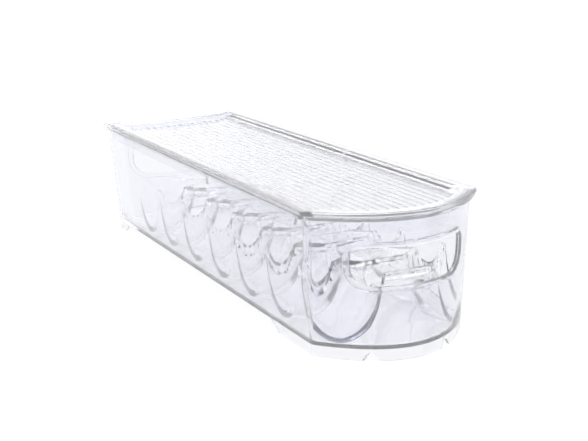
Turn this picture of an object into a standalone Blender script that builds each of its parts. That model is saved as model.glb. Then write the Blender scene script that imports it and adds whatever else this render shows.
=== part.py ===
"""Fridge bin: clear open-topped tub, lift-out egg tray and lift-off lid.

Units are metres.  +Z is up, the floor is z = 0, the long axis is Y and the
bowed handle end faces -Y.  The back end is hollowed by the same kind of curve.
"""
import math

import bmesh
import bpy

MM = 0.001

# ---- overall size ---------------------------------------------------------
LID_HALF_W = 54.0 * MM          # half width over the lid
LID_CORNER_FRONT = -161.9 * MM  # y of the lid's front corners
LID_CORNER_BACK = 192.0 * MM    # y of the lid's back corners
BOW_FRONT = 30.1 * MM           # how far the front end bulges out
BOW_BACK = 12.0 * MM            # how far the back end is hollowed in
TOTAL_H = 82.0 * MM

# ---- tub ------------------------------------------------------------------
WALL = 2.0 * MM
TUB_TOP_Z = 79.3 * MM
FLOOR_Z0 = 6.3 * MM
FLOOR_Z1 = 8.3 * MM
TUB_HALF_W_LOW = 46.8 * MM      # half width of the outside at z = 0
TUB_HALF_W_TOP = 51.4 * MM      # half width of the outside under the rim
TUB_FRONT_LOW = -155.6 * MM     # y of the front corners at z = 0
TUB_FRONT_TOP = -159.4 * MM
TUB_BACK_LOW = 185.2 * MM       # y of the back corners at z = 0
TUB_BACK_TOP = 188.9 * MM
CORNER_CUT = 2.6 * MM           # length each corner is rounded back by
RIM_Z0 = 77.3 * MM
RIM_OUT = 2.4 * MM              # how far the rim flange stands out
CAVITY_OVER = 4.0 * MM

# ---- foot skirt -------------------------------------------------------------
FOOT_SINK = 0.6 * MM            # how far the skirt is let into the floor
FOOT_FRONT_END = -106.0 * MM    # the front skirt stops here on each side
FOOT_BACK_START = 165.0 * MM    # the back skirt starts here on each side
FOOT_SLANT = 6.0 * MM           # slope of each skirt end
NOTCH_X = 22.5 * MM
NOTCH_HALF_LOW = 3.5 * MM
NOTCH_HALF_TOP = 1.25 * MM
NOTCH_H = 4.0 * MM

# ---- handle openings --------------------------------------------------------
SLOT_HALF_W = 33.0 * MM
SLOT_Z0 = 41.5 * MM
SLOT_Z1 = 63.0 * MM
SLOT_R_LOW = 11.0 * MM
SLOT_R_TOP = 4.0 * MM
BEAD_HALF_W = 36.5 * MM
BEAD_Z0 = 37.8 * MM
BEAD_Z1 = 66.6 * MM
BEAD_R_LOW = 13.5 * MM
BEAD_R_TOP = 6.0 * MM
BEAD_OUT = 1.1 * MM             # how far the bead stands off the wall

# ---- lid --------------------------------------------------------------------
LID_GAP = 0.3 * MM
LID_FLANGE_Z0 = TUB_TOP_Z + LID_GAP
SKIRT_GAP = 0.4 * MM            # play between the locating skirt and the walls
LID_SKIRT_T = 1.5 * MM
LID_SKIRT_Z0 = 70.3 * MM
PANEL_Z0 = 76.7 * MM
PANEL_Z1 = 78.5 * MM
BORDER_IN_TOP = 9.0 * MM        # recess edge at the top of the border
BORDER_IN_LOW = 12.0 * MM       # recess edge down on the panel
RIM_ROUND = 1.0 * MM            # rounding of the border's outer top edge
RIB_COUNT = 15
RIB_PITCH = 5.2 * MM
RIB_HALF_W = 0.6 * MM
RIB_H = 0.2 * MM
RIB_SINK = 0.3 * MM
RIB_END_IN = 14.5 * MM
SKIRT_TAB_X = 23.0 * MM         # front skirt runs this far each side
SKIRT_SIDE_START = -146.0 * MM  # side skirts start here
SKIRT_BREAK_Y = -18.0 * MM
SKIRT_BREAK_HALF = 1.5 * MM

# ---- egg tray ---------------------------------------------------------------
TRAY_T = 2.8 * MM
TRAY_HALF_W = 45.0 * MM
TRAY_GAP = 1.0 * MM
TRAY_BACK = 131.0 * MM
TRAY_TOP = 47.2 * MM
TRAY_FLOOR_GAP = 0.3 * MM
CUP_LOW = FLOOR_Z1 + TRAY_FLOOR_GAP + TRAY_T
CUP_X = 35.5 * MM
CUP_OUT_RX = 20.5 * MM          # half width of a cup towards the side wall
CUP_IN_RX = 24.5 * MM           # and towards the middle of the tray
CUP_RY = 24.3 * MM              # half length: neighbouring cups run together
CUP_H = 40.0 * MM
CUP_STEEP = 200.0 * MM          # rise outside the oval, per unit of its radius
CUP_Y0 = -164.5 * MM
CUP_PITCH = 45.9 * MM
CUP_COUNT = 7
RIM_BLEND = 2.0 * MM            # rounding of the cup rims
DIP_Z = 36.0 * MM               # middle wall between a left and a right cup
DIP_HALF = 11.0 * MM
DIP_POWER = 3.0
SLOPE_STEP = 0.5 * MM
STEEP_MOST = 2.0                # largest upright thickness over TRAY_T
TRAY_NX = 22
TRAY_NY = 68

# ---- facets -----------------------------------------------------------------
SEG_FRONT = 20
SEG_BACK = 12
SEG_CORNER = 3
SEG_SLOT = 6


def lerp(a, b, t):
    return a + (b - a) * t


def arc_y(x, half_w, corner_y, sag, inset):
    """Point of a bowed end curve, offset square to itself by inset."""
    t = x / half_w
    slope = 2.0 * sag * x / (half_w * half_w)
    return corner_y - sag * (1.0 - t * t) + inset * math.sqrt(1.0 + slope * slope)


def round_corner(before, corner, after, cut, count):
    """Quadratic blend between points cut back from one corner."""
    def toward(p, q):
        d = math.hypot(q[0] - p[0], q[1] - p[1])
        s = cut / d
        return (lerp(p[0], q[0], s), lerp(p[1], q[1], s))
    a = toward(corner, before)
    b = toward(corner, after)
    pts = []
    for i in range(count + 1):
        s = i / count
        x = (1 - s) ** 2 * a[0] + 2 * s * (1 - s) * corner[0] + s * s * b[0]
        y = (1 - s) ** 2 * a[1] + 2 * s * (1 - s) * corner[1] + s * s * b[1]
        pts.append((x, y))
    return pts


def end_outline(half_w, front_y, back_y, inset):
    """Plan outline, anticlockwise: bowed front, hollow back, rounded corners."""
    w = half_w - inset
    front = []
    for i in range(SEG_FRONT + 1):
        x = lerp(-w, w, i / SEG_FRONT)
        front.append((x, arc_y(x, half_w, front_y, BOW_FRONT, inset)))
    back = []
    for i in range(SEG_BACK + 1):
        x = lerp(w, -w, i / SEG_BACK)
        back.append((x, arc_y(x, half_w, back_y, BOW_BACK, -inset)))
    pts = []
    pts += round_corner(back[-1], front[0], front[1], CORNER_CUT, SEG_CORNER)
    pts += front[1:-1]
    pts += round_corner(front[-2], front[-1], back[0], CORNER_CUT, SEG_CORNER)
    pts += round_corner(front[-1], back[0], back[1], CORNER_CUT, SEG_CORNER)
    pts += back[1:-1]
    pts += round_corner(back[-2], back[-1], front[0], CORNER_CUT, SEG_CORNER)
    return pts


def tub_outline(z, inset):
    t = z / RIM_Z0
    half_w = lerp(TUB_HALF_W_LOW, TUB_HALF_W_TOP, t)
    front_y = lerp(TUB_FRONT_LOW, TUB_FRONT_TOP, t)
    back_y = lerp(TUB_BACK_LOW, TUB_BACK_TOP, t)
    return end_outline(half_w, front_y, back_y, inset)


def lid_outline(inset):
    return end_outline(LID_HALF_W, LID_CORNER_FRONT, LID_CORNER_BACK, inset)


def new_object(name, bm, collection):
    mesh = bpy.data.meshes.new(name)
    bm.to_mesh(mesh)
    bm.free()
    obj = bpy.data.objects.new(name, mesh)
    collection.objects.link(obj)
    if collection.hide_render:
        obj.display_type = "WIRE"
        obj.hide_render = True
    return obj


def loft(name, low, z0, top, z1, collection):
    """Straight loft between two outlines with the same number of points."""
    bm = bmesh.new()
    verts = [bm.verts.new((x, y, z0)) for x, y in low]
    face = bm.faces.new(verts)
    grown = bmesh.ops.extrude_face_region(bm, geom=[face])
    moved = [g for g in grown["geom"] if isinstance(g, bmesh.types.BMVert)]
    for v in moved:
        gaps = [math.hypot(v.co.x - x, v.co.y - y) for x, y in low]
        target = top[gaps.index(min(gaps))]
        v.co = (target[0], target[1], z1)
    bmesh.ops.recalc_face_normals(bm, faces=bm.faces)
    return new_object(name, bm, collection)


def slab(name, outline, z0, z1, collection):
    return loft(name, outline, z0, outline, z1, collection)


def profile_bar(name, profile, axis, lo, hi, collection):
    """Profile swept straight along x or y; profile is (other axis, z)."""
    bm = bmesh.new()
    if axis == "x":
        verts = [bm.verts.new((lo, a, z)) for a, z in profile]
        step = (hi - lo, 0.0, 0.0)
    else:
        verts = [bm.verts.new((a, lo, z)) for a, z in profile]
        step = (0.0, hi - lo, 0.0)
    face = bm.faces.new(verts)
    grown = bmesh.ops.extrude_face_region(bm, geom=[face])
    moved = [g for g in grown["geom"] if isinstance(g, bmesh.types.BMVert)]
    bmesh.ops.translate(bm, verts=moved, vec=step)
    bmesh.ops.recalc_face_normals(bm, faces=bm.faces)
    return new_object(name, bm, collection)


def box(name, x0, x1, y0, y1, z0, z1, collection):
    profile = [(y0, z0), (y1, z0), (y1, z1), (y0, z1)]
    return profile_bar(name, profile, "x", x0, x1, collection)


def combine(target, tool, operation):
    """Exact Boolean, applied, and the tool kept as a hidden cutter."""
    mod = target.modifiers.new(operation.title(), "BOOLEAN")
    mod.operation = operation
    mod.solver = "EXACT"
    mod.object = tool
    bpy.context.view_layer.update()
    graph = bpy.context.evaluated_depsgraph_get()
    mesh = bpy.data.meshes.new_from_object(target.evaluated_get(graph))
    target.modifiers.clear()
    old = target.data
    target.data = mesh
    bpy.data.meshes.remove(old)
    return target


def slot_profile(half_w, z0, z1, r_low, r_top):
    """Rounded opening outline in (x, z), flatter at the top corners."""
    pts = []
    centres = [
        (-half_w + r_low, z0 + r_low, r_low, 180.0),
        (half_w - r_low, z0 + r_low, r_low, 270.0),
        (half_w - r_top, z1 - r_top, r_top, 0.0),
        (-half_w + r_top, z1 - r_top, r_top, 90.0),
    ]
    for cx, cz, r, start in centres:
        for i in range(SEG_SLOT + 1):
            a = math.radians(start + 90.0 * i / SEG_SLOT)
            pts.append((cx + r * math.cos(a), cz + r * math.sin(a)))
    return pts


# ---- tub ------------------------------------------------------------------
def tub_beads(tub, cutters):
    """Raised bead round each handle opening, following the wall."""
    profile = slot_profile(BEAD_HALF_W, BEAD_Z0, BEAD_Z1, BEAD_R_LOW, BEAD_R_TOP)
    ends = {
        "front": (TUB_FRONT_TOP - 2.0 * BOW_FRONT, TUB_FRONT_TOP + BOW_FRONT),
        "back": (TUB_BACK_LOW - 2.0 * BOW_BACK, TUB_BACK_TOP + BOW_BACK),
    }
    for end, (y0, y1) in ends.items():
        low = tub_outline(FLOOR_Z0, -BEAD_OUT)
        top = tub_outline(RIM_Z0, -BEAD_OUT)
        bead = loft("bead_" + end, low, FLOOR_Z0, top, RIM_Z0, cutters)
        window = profile_bar("bead_window_" + end, profile, "y", y0, y1, cutters)
        combine(bead, window, "INTERSECT")
        combine(tub, bead, "UNION")


def tub_foot(tub, cutters):
    """Low skirt under the floor, at the front end and the back end only."""
    foot = slab("foot", tub_outline(0.0, 0.0), 0.0, FLOOR_Z0 + FOOT_SINK, cutters)
    hollow = slab("foot_hollow", tub_outline(0.0, WALL), -WALL, FLOOR_Z1, cutters)
    combine(foot, hollow, "DIFFERENCE")
    over = FLOOR_Z1
    gap = [
        (FOOT_FRONT_END - FOOT_SLANT, -WALL),
        (FOOT_BACK_START + FOOT_SLANT, -WALL),
        (FOOT_BACK_START - FOOT_SLANT, over),
        (FOOT_FRONT_END + FOOT_SLANT, over),
    ]
    reach = 2.0 * TUB_HALF_W_TOP
    middle = profile_bar("foot_gap", gap, "x", -reach, reach, cutters)
    combine(foot, middle, "DIFFERENCE")
    for side in (-1.0, 1.0):
        centre = side * NOTCH_X
        shape = [
            (centre - NOTCH_HALF_LOW - NOTCH_HALF_TOP, -WALL),
            (centre + NOTCH_HALF_LOW + NOTCH_HALF_TOP, -WALL),
            (centre + NOTCH_HALF_TOP, NOTCH_H),
            (centre - NOTCH_HALF_TOP, NOTCH_H),
        ]
        y0 = TUB_FRONT_TOP - 2.0 * BOW_FRONT
        notch = profile_bar("notch", shape, "y", y0, TUB_FRONT_TOP, cutters)
        combine(foot, notch, "DIFFERENCE")
    combine(tub, foot, "UNION")


def make_tub(parts, cutters):
    low = tub_outline(FLOOR_Z0, 0.0)
    top = tub_outline(RIM_Z0, 0.0)
    tub = loft("bin", low, FLOOR_Z0, top, RIM_Z0 + WALL / 4.0, parts)
    rim = slab("rim", tub_outline(RIM_Z0, -RIM_OUT), RIM_Z0, TUB_TOP_Z, cutters)
    combine(tub, rim, "UNION")
    tub_beads(tub, cutters)
    low = tub_outline(FLOOR_Z1, WALL)
    top = tub_outline(TUB_TOP_Z + CAVITY_OVER, WALL)
    cavity = loft("cavity", low, FLOOR_Z1, top, TUB_TOP_Z + CAVITY_OVER, cutters)
    combine(tub, cavity, "DIFFERENCE")
    profile = slot_profile(SLOT_HALF_W, SLOT_Z0, SLOT_Z1, SLOT_R_LOW, SLOT_R_TOP)
    reach = TUB_BACK_TOP + 2.0 * BOW_FRONT
    slot = profile_bar("handle_slots", profile, "y", -reach, reach, cutters)
    combine(tub, slot, "DIFFERENCE")
    tub_foot(tub, cutters)
    return tub


# ---- lid --------------------------------------------------------------------
def lid_skirt(cutters):
    """Locating skirt that drops inside the tub walls."""
    outer = tub_outline(LID_SKIRT_Z0, WALL + SKIRT_GAP)
    inner = tub_outline(LID_SKIRT_Z0, WALL + SKIRT_GAP + LID_SKIRT_T)
    skirt = slab("skirt", outer, LID_SKIRT_Z0, PANEL_Z1, cutters)
    hollow = slab("skirt_hollow", inner, LID_SKIRT_Z0 - WALL, TOTAL_H, cutters)
    combine(skirt, hollow, "DIFFERENCE")
    low = LID_SKIRT_Z0 - WALL
    for side in (-1.0, 1.0):
        x0, x1 = sorted((side * SKIRT_TAB_X, side * LID_HALF_W))
        y0 = LID_CORNER_FRONT - BOW_FRONT
        corner = box("skirt_corner", x0, x1, y0, SKIRT_SIDE_START, low, PANEL_Z0, cutters)
        combine(skirt, corner, "DIFFERENCE")
    y0 = SKIRT_BREAK_Y - SKIRT_BREAK_HALF
    y1 = SKIRT_BREAK_Y + SKIRT_BREAK_HALF
    gap = box("skirt_break", -LID_HALF_W, LID_HALF_W, y0, y1, low, PANEL_Z0, cutters)
    combine(skirt, gap, "DIFFERENCE")
    return skirt


def lid_ribs(lid, cutters):
    """Fine ribs on the panel, all parallel to the long axis."""
    for i in range(RIB_COUNT):
        x = (i - (RIB_COUNT - 1) / 2.0) * RIB_PITCH
        y0 = arc_y(x, LID_HALF_W, LID_CORNER_FRONT, BOW_FRONT, RIB_END_IN)
        y1 = arc_y(x, LID_HALF_W, LID_CORNER_BACK, BOW_BACK, -RIB_END_IN)
        z0 = PANEL_Z1 - RIB_SINK
        z1 = PANEL_Z1 + RIB_H
        rib = box("rib", x - RIB_HALF_W, x + RIB_HALF_W, y0, y1, z0, z1, cutters)
        combine(lid, rib, "UNION")


def make_lid(parts, cutters):
    edge = TOTAL_H - RIM_ROUND
    lid = slab("lid", lid_outline(0.0), LID_FLANGE_Z0, edge, parts)
    crown = loft("crown", lid_outline(0.0), edge, lid_outline(RIM_ROUND), TOTAL_H, cutters)
    combine(lid, crown, "UNION")
    inside = tub_outline(LID_SKIRT_Z0, WALL + SKIRT_GAP)
    plug = slab("plug", inside, PANEL_Z0, edge, cutters)
    combine(lid, plug, "UNION")
    combine(lid, lid_skirt(cutters), "UNION")
    low = lid_outline(BORDER_IN_LOW)
    top = lid_outline(BORDER_IN_TOP)
    recess = loft("recess", low, PANEL_Z1, top, TOTAL_H + LID_GAP, cutters)
    combine(lid, recess, "DIFFERENCE")
    lid_ribs(lid, cutters)
    return lid


# ---- egg tray ---------------------------------------------------------------
def soft_min(a, b, width):
    """Smaller of two heights with a rounded changeover."""
    h = max(width - abs(a - b), 0.0) / width
    return min(a, b) - h * h * width / 4.0


def cup_height(x, y):
    """Height of the nearest cup and of the middle wall, before the flat top."""
    index = round((y - CUP_Y0) / CUP_PITCH)
    index = min(max(index, 0), CUP_COUNT - 1)
    dy = y - (CUP_Y0 + index * CUP_PITCH)
    dx = abs(x) - CUP_X
    reach = CUP_OUT_RX if dx > 0.0 else CUP_IN_RX
    d = math.hypot(dx / reach, dy / CUP_RY)
    bowl = CUP_H * (1.0 - math.sqrt(1.0 - min(d, 1.0) ** 2))
    dip = DIP_Z + (TRAY_TOP - DIP_Z) * (abs(dy) / DIP_HALF) ** DIP_POWER
    return soft_min(CUP_LOW + bowl + CUP_STEEP * max(d - 1.0, 0.0), dip, RIM_BLEND)


def tray_height(x, y):
    return soft_min(cup_height(x, y), TRAY_TOP, RIM_BLEND)


def tray_under(x, y):
    """Height of the underside: the wall is thicker upright where it is steep."""
    h = SLOPE_STEP
    gx = (tray_height(x + h, y) - tray_height(x - h, y)) / (2.0 * h)
    gy = (tray_height(x, y + h) - tray_height(x, y - h)) / (2.0 * h)
    thick = TRAY_T * min(math.sqrt(1.0 + gx * gx + gy * gy), STEEP_MOST)
    return max(tray_height(x, y) - thick, CUP_LOW - TRAY_T)


def tray_front(x):
    t = CUP_LOW / RIM_Z0
    half_w = lerp(TUB_HALF_W_LOW, TUB_HALF_W_TOP, t)
    corner = lerp(TUB_FRONT_LOW, TUB_FRONT_TOP, t)
    return arc_y(x, half_w, corner, BOW_FRONT, WALL + TRAY_GAP)


def make_tray(parts):
    bm = bmesh.new()
    bmesh.ops.create_grid(bm, x_segments=TRAY_NX, y_segments=TRAY_NY, size=1.0)
    for v in bm.verts:
        x = v.co.x * TRAY_HALF_W
        front = tray_front(x)
        y = lerp(front, TRAY_BACK, (v.co.y + 1.0) / 2.0)
        v.co = (x, y, tray_height(x, y))
    tray = new_object("egg_tray", bm, parts)
    shell = tray.modifiers.new("Solidify", "SOLIDIFY")
    shell.thickness = TRAY_T
    shell.offset = -1.0
    bpy.context.view_layer.update()
    graph = bpy.context.evaluated_depsgraph_get()
    mesh = bpy.data.meshes.new_from_object(tray.evaluated_get(graph))
    tray.modifiers.clear()
    tops = len(tray.data.vertices)
    tray.data = mesh
    for i in range(tops):
        x, y, z = mesh.vertices[i].co
        mesh.vertices[tops + i].co = (x, y, tray_under(x, y))
    return tray


# ---- materials and finish ---------------------------------------------------
def clear_plastic(name, tint, roughness):
    mat = bpy.data.materials.new(name)
    mat.use_nodes = True
    shader = mat.node_tree.nodes["Principled BSDF"]
    shader.inputs["Base Color"].default_value = tint
    shader.inputs["Roughness"].default_value = roughness
    shader.inputs["IOR"].default_value = 1.49
    shader.inputs["Transmission Weight"].default_value = 0.9
    shader.inputs["Alpha"].default_value = 0.35
    return mat


def finish(obj, material, smooth):
    obj.data.materials.clear()
    obj.data.materials.append(material)
    for face in obj.data.polygons:
        face.use_smooth = smooth


def main():
    for obj in list(bpy.data.objects):
        bpy.data.objects.remove(obj, do_unlink=True)
    parts = bpy.data.collections.new("fridge_bin")
    cutters = bpy.data.collections.new("fridge_bin_cutters")
    bpy.context.scene.collection.children.link(parts)
    bpy.context.scene.collection.children.link(cutters)
    cutters.hide_render = True
    tub = make_tub(parts, cutters)
    lid = make_lid(parts, cutters)
    tray = make_tray(parts)
    finish(tub, clear_plastic("clear_tub", (0.86, 0.89, 0.93, 1.0), 0.08), False)
    finish(lid, clear_plastic("clear_lid", (0.88, 0.91, 0.95, 1.0), 0.10), False)
    finish(tray, clear_plastic("clear_tray", (0.84, 0.88, 0.93, 1.0), 0.08), True)


main()
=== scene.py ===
"""Looks of the clear fridge bin: tub, egg tray and lid in moulded clear plastic.

Each CAD node is replaced by a finer closed mesh of the same shape and place.
Units are metres in the row frame: +Z up, long axis Y, bowed handle end at -Y.
"""

import math

import bmesh
import bpy
from mathutils import Matrix, Vector


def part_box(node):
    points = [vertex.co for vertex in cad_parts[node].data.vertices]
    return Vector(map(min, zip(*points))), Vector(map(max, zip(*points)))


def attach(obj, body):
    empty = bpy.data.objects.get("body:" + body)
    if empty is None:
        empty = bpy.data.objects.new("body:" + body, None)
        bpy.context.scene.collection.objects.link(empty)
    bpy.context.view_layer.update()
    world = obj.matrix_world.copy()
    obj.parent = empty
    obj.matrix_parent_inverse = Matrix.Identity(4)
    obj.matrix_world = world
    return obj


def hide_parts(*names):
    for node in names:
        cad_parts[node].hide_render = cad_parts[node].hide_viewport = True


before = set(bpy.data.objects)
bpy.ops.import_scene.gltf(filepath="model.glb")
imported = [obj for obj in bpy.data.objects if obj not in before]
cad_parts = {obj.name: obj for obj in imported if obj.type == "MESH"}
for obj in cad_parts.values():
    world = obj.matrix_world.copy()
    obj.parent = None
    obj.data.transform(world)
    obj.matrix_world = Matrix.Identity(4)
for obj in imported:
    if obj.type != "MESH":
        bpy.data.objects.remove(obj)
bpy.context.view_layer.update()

MM = 0.001

# ---- sizes read from the frame ----------------------------------------------
bin_lo, bin_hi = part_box("bin")
lid_lo, lid_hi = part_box("lid")
tray_lo, tray_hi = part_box("egg_tray")

# ---- bows of the two ends, shared by every piece ----------------------------
BOW_FRONT = 30.1 * MM
BOW_BACK = 12.0 * MM

# ---- lid --------------------------------------------------------------------
LID_HALF_W = lid_hi[0]
LID_TOP = lid_hi[2]
LID_SKIRT_Z0 = lid_lo[2]
LID_BACK = 192.0 * MM
LID_FRONT = -161.9 * MM
LID_FLANGE_Z0 = LID_TOP - 2.4 * MM
PANEL_Z0 = LID_TOP - 5.3 * MM
PANEL_Z1 = LID_TOP - 3.5 * MM
BORDER_IN_TOP = 9.0 * MM        # recess edge at the top of the border
BORDER_IN_LOW = 12.0 * MM       # recess edge down on the panel
BORDER_EASE = 0.6 * MM          # how far the recess wall's roundings lean in
LID_CROWN = 1.2 * MM            # rounding of the border's edges
SKIRT_GAP = 0.4 * MM            # play between the locating skirt and the walls
SKIRT_T = 1.5 * MM
SKIRT_TAB_X = 23.0 * MM         # the front skirt runs this far each side
SKIRT_SIDE_START = -146.0 * MM  # the side skirts start here
SKIRT_BREAK_Y = -18.0 * MM
SKIRT_BREAK_HALF = 1.5 * MM
SKIRT_END_R = 4.0 * MM          # rounding of the skirt's cut ends
RIB_COUNT = 15
RIB_PITCH = 5.2 * MM
RIB_HALF_W = 1.3 * MM
RIB_H = 0.2 * MM
RIB_SINK = 0.3 * MM
RIB_END_IN = 14.5 * MM

# ---- tub --------------------------------------------------------------------
WALL = 2.0 * MM
TUB_TOP = bin_hi[2]
RIM_Z0 = TUB_TOP - 2.0 * MM
RIM_OUT = 2.4 * MM
FLOOR_Z0 = 6.3 * MM
FLOOR_Z1 = 8.3 * MM
LOW_HALF_W = 46.8 * MM
TOP_HALF_W = 51.4 * MM
LOW_FRONT = -155.6 * MM
TOP_FRONT = -159.4 * MM
LOW_BACK = 185.2 * MM
TOP_BACK = 188.9 * MM
FOOT_FRONT_END = -106.0 * MM
FOOT_BACK_START = 165.0 * MM
FOOT_SLANT = 6.0 * MM           # half length of the slope at a skirt's end
FOOT_CHAMFER = 0.4 * MM
FLUSH = 0.1 * MM                # a skirt that is cut away still stands this deep
NOTCH_X = 22.5 * MM
NOTCH_HALF_LOW = 3.5 * MM
NOTCH_HALF_TOP = 1.25 * MM
NOTCH_H = 4.0 * MM
SLOT_HALF_W = 33.0 * MM
SLOT_Z0 = 41.5 * MM
SLOT_Z1 = 63.0 * MM
SLOT_R_LOW = 11.0 * MM
SLOT_R_TOP = 4.0 * MM
BEAD_MARGIN = 1.7 * MM          # slot edge to the bead's centre line
BEAD_HALF = 1.7 * MM
BEAD_OUT = 1.0 * MM
EDGE_SOFT = 0.5 * MM            # rounding of the rim's and flange's edges
FLOOR_FILLET = 1.2 * MM
WALL_PLACES = (20.0 * MM, 40.0 * MM, 60.0 * MM)   # heights of the wall's rings
WALL_START = 0.3 * MM           # first outer ring, above the floor's underside
CUTTER_OVER = 10.0 * MM         # slot cutters reach this far past the box
CUTTER_IN = 2.0 * MM            # and this far in from the front corners

# ---- egg tray ---------------------------------------------------------------
TRAY_T = 2.8 * MM
TRAY_HALF_W = 45.0 * MM
TRAY_GAP = 1.0 * MM
TRAY_BACK = 131.0 * MM
TRAY_TOP = tray_hi[2]
CUP_LOW = tray_lo[2] + TRAY_T
CUP_X = 35.5 * MM
CUP_OUT_RX = 20.5 * MM          # half width of a cup towards the side wall
CUP_IN_RX = 24.5 * MM           # and towards the middle of the tray
CUP_RY = 24.3 * MM              # half length: neighbouring cups run together
CUP_H = 40.0 * MM
CUP_STEEP = 80.0 * MM           # rise outside the oval, per unit of its radius
CUP_Y0 = -164.5 * MM
CUP_PITCH = 45.9 * MM
CUP_COUNT = 7
RIM_BLEND = 3.5 * MM            # rounding of the cup rims
RIDGE_BLEND = 4.0 * MM          # rounding of the ridge between two cups
DIP_Z = 36.0 * MM               # middle wall between a left and a right cup
DIP_HALF = 11.0 * MM
DIP_POWER = 3.0
SLOPE_STEP = 0.5 * MM           # reach of the slope measurement
STEEP_MOST = 2.0                # largest upright thickness over TRAY_T
TRAY_NX = 84
TRAY_NY = 300

# ---- mesh detail ------------------------------------------------------------
FRONT_STEPS = 120
BACK_STEPS = 48
CORNER_STEPS = 6
CORNER_CUT = 2.6 * MM           # length each corner is rounded back by
TRIM_LEAST = 3                  # fewest points a rounded corner takes over
TRIM_SPARE = 1.4                # length kept clear of points, in corner cuts
SIDE_STEP = 6.0 * MM
SIDE_CLEAR = 0.3                # part of a step kept clear of a named place
STATION_MIN = 0.1 * MM          # least distance between places along a side
BREAK_WALL = 0.05 * MM          # half length of the step at a skirt break
SKIRT_END_STEPS = 8
LADDER_END = 150.0 * MM         # in front of the hollow of the back end
EDGE_STEPS = 3
FILLET_STEPS = 4
CROWN_STEPS = 5
BEAD_CORNER_STEPS = 8
BEAD_SPACING = 2.5 * MM
BEAD_SECTION = 12
SLOT_CORNER_STEPS = 10
SLOT_SPACING = 4.0 * MM
NORMAL_STEP = 0.2 * MM
RIB_STEPS = 8
SHARP = math.radians(34.0)
LEVEL = 0.99999                 # faces this upright are shaded flat

# ---- look -------------------------------------------------------------------
CLEAR_ALPHA = 0.93              # the rest passes straight through
HAZE_MOST = 0.03                # roughness where the flow marks are strongest
FLOW_DETAIL = 3.0
FLOW_BUMP = 0.04
FLOW_DEPTH = 0.2 * MM
TUB_IOR, TUB_GRAIN = 1.42, 9.0
TRAY_IOR, TRAY_GRAIN = 1.33, 14.0
LID_IOR, LID_GRAIN = 1.45, 9.0
TUB_TINT = (0.932, 0.935, 0.970, 1.0), (0.947, 0.950, 0.980, 1.0)
TRAY_TINT = (0.990, 0.990, 1.0, 1.0), (1.0, 1.0, 1.0, 1.0)
LID_TINT = (0.960, 0.960, 0.982, 1.0), (0.975, 0.975, 0.992, 1.0)

# ---- studio -----------------------------------------------------------------
FLOOR_SIZE = 6.0
FLOOR_BASE = (0.10, 0.10, 0.10, 1.0)
FLOOR_GLOW = 0.93               # keeps the floor white under the clear parts
FLOOR_ROUGH = 0.95
WORLD_LEVEL = 1.28
WORLD_LOW = 0.50, (1.0, 1.0, 1.0, 1.0)        # place on the ramp and colour
WORLD_HIGH = 0.80, (0.56, 0.60, 0.84, 1.0)
LIGHT_POWER = 4.0
KEY_PLACE = (-0.9, -0.9, 1.5)
KEY_SIZE = (1.2, 1.2)
TOP_PLACE = (0.2, 0.6, 1.6)
TOP_SIZE = (1.6, 1.6)
LIGHT_AIM = (0.0, 0.0, 0.0)
BOUNCES = 40                    # light crosses many clear walls

# ---- camera -----------------------------------------------------------------
CAM_AZIMUTH = math.radians(-24.72)
CAM_HEIGHT = math.radians(13.68)
CAM_ROLL = math.radians(-2.01)
CAM_DISTANCE = 796.1 * MM
CAM_AIM = Vector((5.8 * MM, -23.8 * MM, 41.0 * MM))
CAM_LENS = 76.04
CAM_FAR = 50.0


def lerp(a, b, t):
    return a + (b - a) * t


def clamp(v, lo=0.0, hi=1.0):
    return min(max(v, lo), hi)


# ---- plan outlines ----------------------------------------------------------
def arc_y(x, half_w, corner_y, sag, inset):
    """Point of a bowed end curve, offset square to itself by inset."""
    t = x / half_w
    slope = 2.0 * sag * x / (half_w * half_w)
    return corner_y - sag * (1.0 - t * t) + inset * math.sqrt(1.0 + slope * slope)


def round_corner(before, corner, after):
    """Quadratic blend between points cut back from one corner."""
    def toward(p, q):
        d = math.hypot(q[0] - p[0], q[1] - p[1])
        s = CORNER_CUT / d
        return (lerp(p[0], q[0], s), lerp(p[1], q[1], s))
    a = toward(corner, before)
    b = toward(corner, after)
    pts = []
    for i in range(CORNER_STEPS + 1):
        s = i / CORNER_STEPS
        k = (1 - s) ** 2, 2 * s * (1 - s), s * s
        pts.append(tuple(
            k[0] * a[j] + k[1] * corner[j] + k[2] * b[j] for j in (0, 1)))
    return pts


def side_stations():
    """Places along a straight side where every ring has a point, front to back."""
    ends = []
    for y in (FOOT_FRONT_END, FOOT_BACK_START):
        ends += [y - FOOT_SLANT, y + FOOT_SLANT]
    for y in (SKIRT_BREAK_Y - SKIRT_BREAK_HALF, SKIRT_BREAK_Y + SKIRT_BREAK_HALF):
        ends += [y - BREAK_WALL, y + BREAK_WALL]
    for i in range(SKIRT_END_STEPS + 1):
        ends.append(SKIRT_SIDE_START + SKIRT_END_R * i / SKIRT_END_STEPS)
    y = SKIRT_SIDE_START + SKIRT_END_R + SIDE_STEP
    while y < TOP_BACK - 4.0 * CORNER_CUT:
        if min(abs(y - e) for e in ends) > SIDE_CLEAR * SIDE_STEP:
            ends.append(y)
        y += SIDE_STEP
    return sorted(ends)


STATIONS = side_stations()


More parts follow.
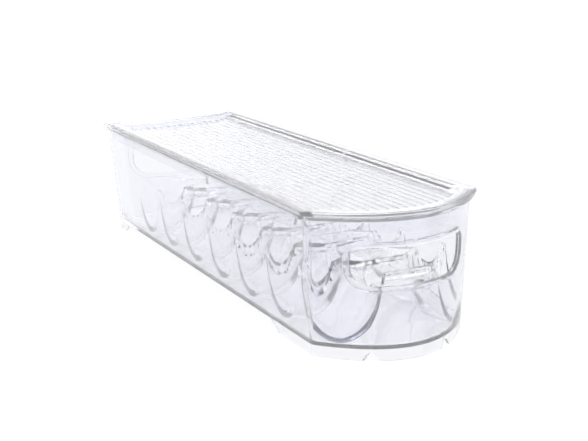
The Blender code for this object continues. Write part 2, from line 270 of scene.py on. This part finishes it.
def outline(half_w, front_y, back_y, inset):
    """Plan outline, anticlockwise from the left front corner."""
    w = half_w - inset
    front = []
    for i in range(FRONT_STEPS + 1):
        x = lerp(-w, w, i / FRONT_STEPS)
        front.append((x, arc_y(x, half_w, front_y, BOW_FRONT, inset)))
    back = []
    for i in range(BACK_STEPS + 1):
        x = lerp(w, -w, i / BACK_STEPS)
        back.append((x, arc_y(x, half_w, back_y, BOW_BACK, -inset)))
    bow = [p for p in front
           if min(math.dist(p, front[0]), math.dist(p, front[-1])) > CORNER_CUT]
    last = back[0][1] - CORNER_CUT
    side = [min(y, last - (len(STATIONS) - i) * STATION_MIN)
            for i, y in enumerate(STATIONS)]
    pts = []
    pts += round_corner(back[-1], front[0], bow[0])
    pts += trimmed(front)
    pts += round_corner(bow[-1], front[-1], back[0])
    pts += [(w, y) for y in side]
    pts += round_corner(front[-1], back[0], back[TRIM_LEAST])
    pts += trimmed(back)
    pts += round_corner(back[-1 - TRIM_LEAST], back[-1], front[0])
    pts += [(-w, y) for y in reversed(side)]
    return pts


def trimmed(curve):
    """A bowed curve without the points that its rounded corners take over."""
    share = TRIM_SPARE * CORNER_CUT / (2.0 * LOW_HALF_W)
    skip = max(TRIM_LEAST, int(len(curve) * share) + 1)
    return curve[skip:-skip]


def tub_ring(z, inset, height=None):
    """Ring inside the tub's drafted walls; height(x, y) bends it out of level."""
    t = z / RIM_Z0
    half_w = lerp(LOW_HALF_W, TOP_HALF_W, t)
    front_y = lerp(LOW_FRONT, TOP_FRONT, t)
    back_y = lerp(LOW_BACK, TOP_BACK, t)
    pts = outline(half_w, front_y, back_y, inset)
    return [Vector((x, y, z if height is None else height(x, y))) for x, y in pts]


def lid_ring(z, inset):
    pts = outline(LID_HALF_W, LID_FRONT, LID_BACK, inset)
    return [Vector((x, y, z)) for x, y in pts]


# ---- mesh helpers -----------------------------------------------------------
def link(name, bm):
    mesh = bpy.data.meshes.new(name)
    bm.to_mesh(mesh)
    bm.free()
    obj = bpy.data.objects.new(name, mesh)
    bpy.context.scene.collection.objects.link(obj)
    return obj


def ladder_cap(bm, row, up):
    """Flat cap of a symmetric outline, as rungs from left to right."""
    count = len(row)
    tip = min(range(count), key=lambda i: row[i].co.y)
    faces = [[row[tip], row[tip + 1], row[tip - 1]]]
    k = 1
    while row[tip + k + 1].co.y < LADDER_END:
        left, right = (tip - k) % count, tip + k
        faces.append([row[right], row[right + 1], row[left - 1], row[left]])
        k += 1
    last = (tip - k) % count
    faces.append(row[tip + k:last + 1])
    for face in faces:
        bm.faces.new(face if up else list(reversed(face)))


def loft(name, rings, closed=False, ladder=False):
    """Closed body through rings of equal length; open ends are capped flat.

    A ladder cap splits a large flat end into rungs, so that Booleans and
    shading stay clean on it.
    """
    bm = bmesh.new()
    rows = [[bm.verts.new(p) for p in ring] for ring in rings]
    count = len(rows[0])
    pairs = list(zip(rows, rows[1:]))
    if closed:
        pairs.append((rows[-1], rows[0]))
    for low, top in pairs:
        for i in range(count):
            j = (i + 1) % count
            bm.faces.new((low[i], low[j], top[j], top[i]))
    if ladder:
        ladder_cap(bm, rows[0], False)
        ladder_cap(bm, rows[-1], True)
    elif not closed:
        bm.faces.new(list(reversed(rows[0])))
        bm.faces.new(rows[-1])
    bmesh.ops.recalc_face_normals(bm, faces=bm.faces)
    return link(name, bm)


def combine(target, tools, operation):
    """Exact Boolean of one or more tools, applied; the tools are removed."""
    for tool in tools:
        mod = target.modifiers.new(operation.title(), "BOOLEAN")
        mod.operation = operation
        mod.solver = "EXACT"
        mod.object = tool
        bake(target)
        mesh = tool.data
        bpy.data.objects.remove(tool)
        bpy.data.meshes.remove(mesh)
    return target


def bake(obj):
    """Apply an object's modifiers to its mesh."""
    bpy.context.view_layer.update()
    graph = bpy.context.evaluated_depsgraph_get()
    mesh = bpy.data.meshes.new_from_object(obj.evaluated_get(graph))
    obj.modifiers.clear()
    old = obj.data
    obj.data = mesh
    bpy.data.meshes.remove(old)


def edge_arc(z0, in0, z1, in1, bulge, steps):
    """Rounded edge between two (z, inset) points, bulging to the corner named."""
    zc, ic = bulge
    pts = []
    for i in range(steps + 1):
        s = i / steps
        k0, k1, k2 = (1 - s) ** 2, 2 * s * (1 - s), s * s
        pts.append((k0 * z0 + k1 * zc + k2 * z1, k0 * in0 + k1 * ic + k2 * in1))
    return pts


# ---- tub --------------------------------------------------------------------
def foot_height(x, y):
    """Height of the skirt's lower edge: down at both ends, flush between."""
    flush = FLOOR_Z0 - FLUSH
    front = clamp((y - (FOOT_FRONT_END - FOOT_SLANT)) / (2.0 * FOOT_SLANT))
    back = clamp(((FOOT_BACK_START + FOOT_SLANT) - y) / (2.0 * FOOT_SLANT))
    z = flush * min(front, back)
    if y < LOW_FRONT:
        d = abs(abs(x) - NOTCH_X)
        t = clamp((NOTCH_HALF_LOW - d) / (NOTCH_HALF_LOW - NOTCH_HALF_TOP))
        z = max(z, NOTCH_H * t)
    return z


def tub_shell():
    """Tub as one ring after another: skirt, outer wall, rim, inner wall, floor."""
    rings = [tub_ring(FLOOR_Z0, WALL)]
    rings.append(tub_ring(0.0, WALL, foot_height))
    rings.append(tub_ring(0.0, FOOT_CHAMFER, foot_height))
    rings.append(tub_ring(0.0, 0.0, lambda x, y: foot_height(x, y) + FOOT_CHAMFER))
    soft = EDGE_SOFT
    for z in (FLOOR_Z0 + WALL_START, *WALL_PLACES, RIM_Z0 - soft):
        rings.append(tub_ring(z, 0.0))
    out = -RIM_OUT
    section = edge_arc(RIM_Z0 - soft, 0.0, RIM_Z0, -soft, (RIM_Z0, 0.0), EDGE_STEPS)
    section += edge_arc(
        RIM_Z0, out + soft, RIM_Z0 + soft, out, (RIM_Z0, out), EDGE_STEPS)
    section += edge_arc(
        TUB_TOP - soft, out, TUB_TOP, out + soft, (TUB_TOP, out), EDGE_STEPS)
    section += edge_arc(
        TUB_TOP, WALL - soft, TUB_TOP - soft, WALL, (TUB_TOP, WALL), EDGE_STEPS)
    rings += [tub_ring(z, inset) for z, inset in section]
    for z in reversed(WALL_PLACES):
        rings.append(tub_ring(z, WALL))
    low = edge_arc(
        FLOOR_Z1 + FLOOR_FILLET, WALL, FLOOR_Z1, WALL + FLOOR_FILLET,
        (FLOOR_Z1, WALL), FILLET_STEPS)
    rings += [tub_ring(z, inset) for z, inset in low]
    return loft("bin_body", rings, ladder=True)


def slot_path(margin, steps):
    """Handle opening outline in (x, z), grown by margin."""
    hw = SLOT_HALF_W + margin
    z0 = SLOT_Z0 - margin
    z1 = SLOT_Z1 + margin
    low = SLOT_R_LOW + margin
    top = SLOT_R_TOP + margin
    pts = []
    corners = (
        (-hw + low, z0 + low, low, 180.0),
        (hw - low, z0 + low, low, 270.0),
        (hw - top, z1 - top, top, 0.0),
        (-hw + top, z1 - top, top, 90.0),
    )
    for cx, cz, r, start in corners:
        for i in range(steps + 1):
            a = math.radians(start + 90.0 * i / steps)
            pts.append((cx + r * math.cos(a), cz + r * math.sin(a)))
    return pts


def spread(path, spacing):
    """Same closed path with extra points so that no step is over spacing."""
    out = []
    for a, b in zip(path, path[1:] + path[:1]):
        n = max(1, math.ceil(math.hypot(b[0] - a[0], b[1] - a[1]) / spacing))
        out += [(lerp(a[0], b[0], i / n), lerp(a[1], b[1], i / n)) for i in range(n)]
    return out


def end_wall(x, z, end):
    """Point on the outside of an end wall and its outward normal."""
    def y_at(xx, zz):
        t = zz / RIM_Z0
        half_w = lerp(LOW_HALF_W, TOP_HALF_W, t)
        if end == "front":
            return arc_y(xx, half_w, lerp(LOW_FRONT, TOP_FRONT, t), BOW_FRONT, 0.0)
        return arc_y(xx, half_w, lerp(LOW_BACK, TOP_BACK, t), BOW_BACK, 0.0)
    h = NORMAL_STEP
    gx = (y_at(x + h, z) - y_at(x - h, z)) / (2.0 * h)
    gz = (y_at(x, z + h) - y_at(x, z - h)) / (2.0 * h)
    out = -1.0 if end == "front" else 1.0
    normal = Vector((-gx * out, out, -gz * out)).normalized()
    return Vector((x, y_at(x, z), z)), normal


def bead(end):
    """Rounded raised bead round a handle opening, lying on the wall."""
    path = spread(slot_path(BEAD_MARGIN, BEAD_CORNER_STEPS), BEAD_SPACING)
    rings = []
    n = len(path)
    for i in range(n):
        px, pz = path[i - 1]
        nx, nz = path[(i + 1) % n]
        across = Vector((nz - pz, 0.0, -(nx - px))).normalized()
        centre, normal = end_wall(path[i][0], path[i][1], end)
        side = (across - normal * across.dot(normal)).normalized()
        ring = []
        for k in range(BEAD_SECTION):
            a = 2.0 * math.pi * k / BEAD_SECTION
            ring.append(
                centre + side * (BEAD_HALF * math.cos(a))
                + normal * (BEAD_OUT * math.sin(a)))
        rings.append(ring)
    return loft("bead_" + end, rings, closed=True)


def slot_cutter(end):
    path = spread(slot_path(0.0, SLOT_CORNER_STEPS), SLOT_SPACING)
    if end == "front":
        y0, y1 = bin_lo[1] - CUTTER_OVER, TOP_FRONT + CUTTER_IN
    else:
        y0, y1 = LOW_BACK - 2.0 * BOW_BACK, bin_hi[1] + CUTTER_OVER
    rings = [[Vector((x, y, z)) for x, z in path] for y in (y0, y1)]
    return loft("slot_" + end, rings)


def make_bin():
    tub = tub_shell()
    combine(tub, [bead("front"), bead("back")], "UNION")
    combine(tub, [slot_cutter("front"), slot_cutter("back")], "DIFFERENCE")
    return tub


# ---- lid --------------------------------------------------------------------
def skirt_edge(x, y):
    """Lower edge of the lid's locating skirt, cut away at the front corners."""
    depth = PANEL_Z0 - FLUSH - LID_SKIRT_Z0
    if y < SKIRT_SIDE_START and abs(x) > SKIRT_TAB_X:
        into = 0.0
    elif y < SKIRT_SIDE_START:
        into = (SKIRT_TAB_X - abs(x)) / SKIRT_END_R
    elif abs(y - SKIRT_BREAK_Y) < SKIRT_BREAK_HALF and abs(x) > SKIRT_TAB_X:
        into = 0.0
    else:
        into = (y - SKIRT_SIDE_START) / SKIRT_END_R
    s = 1.0 - clamp(into)
    return LID_SKIRT_Z0 + depth * (1.0 - math.sqrt(max(0.0, 1.0 - s * s)))


def lid_shell():
    """Lid from its skirt out over the flange, then in and down to the panel."""
    fit = WALL + SKIRT_GAP

    def plug(inset, z):
        """Upright wall that keeps the plan which the skirt has at its foot."""
        return [Vector((p.x, p.y, z)) for p in tub_ring(LID_SKIRT_Z0, inset)]

    rings = [plug(fit + SKIRT_T, PANEL_Z0)]
    rings.append(tub_ring(LID_SKIRT_Z0, fit + SKIRT_T, skirt_edge))
    rings.append(tub_ring(LID_SKIRT_Z0, fit, skirt_edge))
    rings.append(plug(fit, LID_FLANGE_Z0))
    section = edge_arc(
        LID_FLANGE_Z0, EDGE_SOFT, LID_FLANGE_Z0 + EDGE_SOFT, 0.0,
        (LID_FLANGE_Z0, 0.0), EDGE_STEPS)
    section += edge_arc(
        LID_TOP - LID_CROWN, 0.0, LID_TOP, LID_CROWN, (LID_TOP, 0.0), CROWN_STEPS)
    section += edge_arc(
        LID_TOP, BORDER_IN_TOP - LID_CROWN,
        LID_TOP - LID_CROWN, BORDER_IN_TOP + BORDER_EASE,
        (LID_TOP, BORDER_IN_TOP), CROWN_STEPS)
    section += edge_arc(
        PANEL_Z1 + LID_CROWN, BORDER_IN_LOW - BORDER_EASE,
        PANEL_Z1, BORDER_IN_LOW + LID_CROWN,
        (PANEL_Z1, BORDER_IN_LOW), CROWN_STEPS)
    rings += [lid_ring(z, inset) for z, inset in section]
    return loft("lid_body", rings, ladder=True)


def rib(x):
    """One low rounded rib on the panel, parallel to the long axis."""
    y0 = arc_y(x, LID_HALF_W, LID_FRONT, BOW_FRONT, RIB_END_IN)
    y1 = arc_y(x, LID_HALF_W, LID_BACK, BOW_BACK, -RIB_END_IN)
    ends = []
    for y in (y0, y1):
        ring = [Vector((x - RIB_HALF_W, y, PANEL_Z1 - RIB_SINK))]
        for k in range(RIB_STEPS + 1):
            t = 2.0 * k / RIB_STEPS - 1.0
            z = PANEL_Z1 + RIB_H * 0.5 * (1.0 + math.cos(math.pi * t))
            ring.append(Vector((x + RIB_HALF_W * t, y, z)))
        ring.append(Vector((x + RIB_HALF_W, y, PANEL_Z1 - RIB_SINK)))
        ends.append(ring)
    return loft("rib", ends)


def make_lid():
    lid = lid_shell()
    ribs = [rib((i - (RIB_COUNT - 1) / 2.0) * RIB_PITCH) for i in range(RIB_COUNT)]
    combine(lid, ribs, "UNION")
    return lid


# ---- egg tray ---------------------------------------------------------------
def soft_min(a, b, width):
    """Lesser of two heights, rounded where they are within width."""
    h = max(width - abs(a - b), 0.0) / width
    return min(a, b) - h * h * width / 4.0


def cup_height(dx, dy):
    """Oval bowl seen from its own centre; dx grows towards the side wall."""
    reach = CUP_OUT_RX if dx > 0.0 else CUP_IN_RX
    d = math.hypot(dx / reach, dy / CUP_RY)
    bowl = CUP_H * (1.0 - math.sqrt(1.0 - min(d, 1.0) ** 2))
    return CUP_LOW + bowl + CUP_STEEP * max(d - 1.0, 0.0)


def tray_height(x, y):
    """Top of the tray: two rows of cups, low between the rows, level at most."""
    index = clamp(round((y - CUP_Y0) / CUP_PITCH), 0, CUP_COUNT - 1)
    dy = y - (CUP_Y0 + index * CUP_PITCH)
    dx = abs(x) - CUP_X
    cup = cup_height(dx, dy)
    if 0 <= index + math.copysign(1, dy) < CUP_COUNT:
        cup = soft_min(cup, cup_height(dx, CUP_PITCH - abs(dy)), RIDGE_BLEND)
    dip = DIP_Z + (TRAY_TOP - DIP_Z) * (abs(dy) / DIP_HALF) ** DIP_POWER
    return soft_min(soft_min(cup, dip, RIM_BLEND), TRAY_TOP, RIM_BLEND)


def tray_under(x, y):
    """Height of the underside: the wall is thicker upright where it is steep."""
    h = SLOPE_STEP
    gx = (tray_height(x + h, y) - tray_height(x - h, y)) / (2.0 * h)
    gy = (tray_height(x, y + h) - tray_height(x, y - h)) / (2.0 * h)
    thick = TRAY_T * min(math.sqrt(1.0 + gx * gx + gy * gy), STEEP_MOST)
    return max(tray_height(x, y) - thick, CUP_LOW - TRAY_T)


def tray_front(x):
    """Front edge of the tray, a constant gap inside the bowed wall."""
    t = CUP_LOW / RIM_Z0
    half_w = lerp(LOW_HALF_W, TOP_HALF_W, t)
    corner = lerp(LOW_FRONT, TOP_FRONT, t)
    return arc_y(x, half_w, corner, BOW_FRONT, WALL + TRAY_GAP)


def make_tray():
    """Dimpled shell: a fine grid made solid, then its underside set below it."""
    bm = bmesh.new()
    top = []
    for j in range(TRAY_NY + 1):
        row = []
        for i in range(TRAY_NX + 1):
            x = lerp(-TRAY_HALF_W, TRAY_HALF_W, i / TRAY_NX)
            y = lerp(tray_front(x), TRAY_BACK, j / TRAY_NY)
            row.append(bm.verts.new((x, y, tray_height(x, y))))
        top.append(row)
    for j in range(TRAY_NY):
        for i in range(TRAY_NX):
            bm.faces.new((top[j][i], top[j][i + 1], top[j + 1][i + 1], top[j + 1][i]))
    tray = link("egg_tray_body", bm)
    shell = tray.modifiers.new("Solidify", "SOLIDIFY")
    shell.thickness = TRAY_T
    shell.offset = -1.0
    tops = len(tray.data.vertices)
    bake(tray)
    for i in range(tops):
        x, y, z = tray.data.vertices[i].co
        tray.data.vertices[tops + i].co = (x, y, tray_under(x, y))
    return tray


# ---- materials --------------------------------------------------------------
def clear_plastic(name, ior, grain, low, high):
    """Clear styrene-like plastic: faint flow marks and a very light haze."""
    mat = bpy.data.materials.new(name)
    mat.use_nodes = True
    nodes = mat.node_tree.nodes
    links = mat.node_tree.links
    shader = nodes["Principled BSDF"]
    shader.inputs["Transmission Weight"].default_value = 1.0
    shader.inputs["IOR"].default_value = ior
    shader.inputs["Alpha"].default_value = CLEAR_ALPHA
    coords = nodes.new("ShaderNodeTexCoord")
    flow = nodes.new("ShaderNodeTexNoise")
    flow.inputs["Scale"].default_value = grain
    flow.inputs["Detail"].default_value = FLOW_DETAIL
    links.new(coords.outputs["Object"], flow.inputs["Vector"])
    colour = nodes.new("ShaderNodeValToRGB")
    colour.color_ramp.elements[0].color = low
    colour.color_ramp.elements[1].color = high
    links.new(flow.outputs["Fac"], colour.inputs["Fac"])
    links.new(colour.outputs["Color"], shader.inputs["Base Color"])
    haze = nodes.new("ShaderNodeMapRange")
    haze.inputs["To Min"].default_value = 0.0
    haze.inputs["To Max"].default_value = HAZE_MOST
    links.new(flow.outputs["Fac"], haze.inputs["Value"])
    links.new(haze.outputs["Result"], shader.inputs["Roughness"])
    bump = nodes.new("ShaderNodeBump")
    bump.inputs["Strength"].default_value = FLOW_BUMP
    bump.inputs["Distance"].default_value = FLOW_DEPTH
    links.new(flow.outputs["Fac"], bump.inputs["Height"])
    links.new(bump.outputs["Normal"], shader.inputs["Normal"])
    return mat


def dress(obj, node, body, material):
    """Shade a piece, give it its plastic and let it stand in for its node."""
    obj.data.materials.clear()
    obj.data.materials.append(material)
    level = [face.normal.z > LEVEL for face in obj.data.polygons]
    obj.data.polygons.foreach_set("use_smooth", [not flat for flat in level])
    obj.data.set_sharp_from_angle(angle=SHARP)
    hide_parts(node)
    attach(obj, body)


# ---- studio -----------------------------------------------------------------
def make_floor():
    bm = bmesh.new()
    bmesh.ops.create_grid(bm, x_segments=1, y_segments=1, size=FLOOR_SIZE)
    floor = link("studio_floor", bm)
    mat = bpy.data.materials.new("floor_white")
    mat.use_nodes = True
    shader = mat.node_tree.nodes["Principled BSDF"]
    shader.inputs["Base Color"].default_value = FLOOR_BASE
    shader.inputs["Roughness"].default_value = FLOOR_ROUGH
    shader.inputs["Specular IOR Level"].default_value = 0.0
    shader.inputs["Emission Color"].default_value = (1.0, 1.0, 1.0, 1.0)
    shader.inputs["Emission Strength"].default_value = FLOOR_GLOW
    floor.data.materials.append(mat)


def area_light(name, place, size):
    data = bpy.data.lights.new(name, "AREA")
    data.shape = "RECTANGLE"
    data.size, data.size_y = size
    data.energy = LIGHT_POWER
    obj = bpy.data.objects.new(name, data)
    obj.location = place
    aim = Vector(LIGHT_AIM) - Vector(place)
    obj.rotation_euler = aim.to_track_quat("-Z", "Y").to_euler()
    bpy.context.scene.collection.objects.link(obj)


def make_world():
    """White at the horizon, a little darker and bluer towards the zenith."""
    world = bpy.data.worlds.new("studio")
    bpy.context.scene.world = world
    world.use_nodes = True
    nodes = world.node_tree.nodes
    links = world.node_tree.links
    coords = nodes.new("ShaderNodeTexCoord")
    split = nodes.new("ShaderNodeSeparateXYZ")
    ramp = nodes.new("ShaderNodeValToRGB")
    for element, (position, colour) in zip(
            ramp.color_ramp.elements, (WORLD_LOW, WORLD_HIGH)):
        element.position = position
        element.color = colour
    links.new(coords.outputs["Generated"], split.inputs["Vector"])
    links.new(split.outputs["Z"], ramp.inputs["Fac"])
    back = nodes["Background"]
    links.new(ramp.outputs["Color"], back.inputs["Color"])
    back.inputs["Strength"].default_value = WORLD_LEVEL


def make_camera():
    """Camera that looks at CAM_AIM, turned by CAM_ROLL about its own axis."""
    away = Vector((
        math.sin(CAM_AZIMUTH) * math.cos(CAM_HEIGHT),
        -math.cos(CAM_AZIMUTH) * math.cos(CAM_HEIGHT),
        math.sin(CAM_HEIGHT)))
    right = (-away).cross(Vector((0.0, 0.0, 1.0))).normalized()
    up = away.cross(right)
    turned_right = right * math.cos(CAM_ROLL) + up * math.sin(CAM_ROLL)
    turned_up = up * math.cos(CAM_ROLL) - right * math.sin(CAM_ROLL)
    basis = Matrix((turned_right, turned_up, away)).transposed().to_4x4()
    data = bpy.data.cameras.new("camera")
    data.lens = CAM_LENS
    data.clip_end = CAM_FAR
    camera = bpy.data.objects.new("camera", data)
    camera.matrix_world = Matrix.Translation(CAM_AIM + away * CAM_DISTANCE) @ basis
    bpy.context.scene.collection.objects.link(camera)
    bpy.context.scene.camera = camera


dress(
    make_bin(), "bin", "bin",
    clear_plastic("clear_tub", TUB_IOR, TUB_GRAIN, *TUB_TINT))
dress(
    make_tray(), "egg_tray", "tray",
    clear_plastic("clear_tray", TRAY_IOR, TRAY_GRAIN, *TRAY_TINT))
dress(
    make_lid(), "lid", "lid",
    clear_plastic("clear_lid", LID_IOR, LID_GRAIN, *LID_TINT))

make_floor()
make_world()
area_light("key", KEY_PLACE, KEY_SIZE)
area_light("top", TOP_PLACE, TOP_SIZE)
make_camera()
bpy.context.scene.view_settings.view_transform = "Standard"
bpy.context.scene.cycles.max_bounces = BOUNCES
bpy.context.scene.cycles.transmission_bounces = BOUNCES
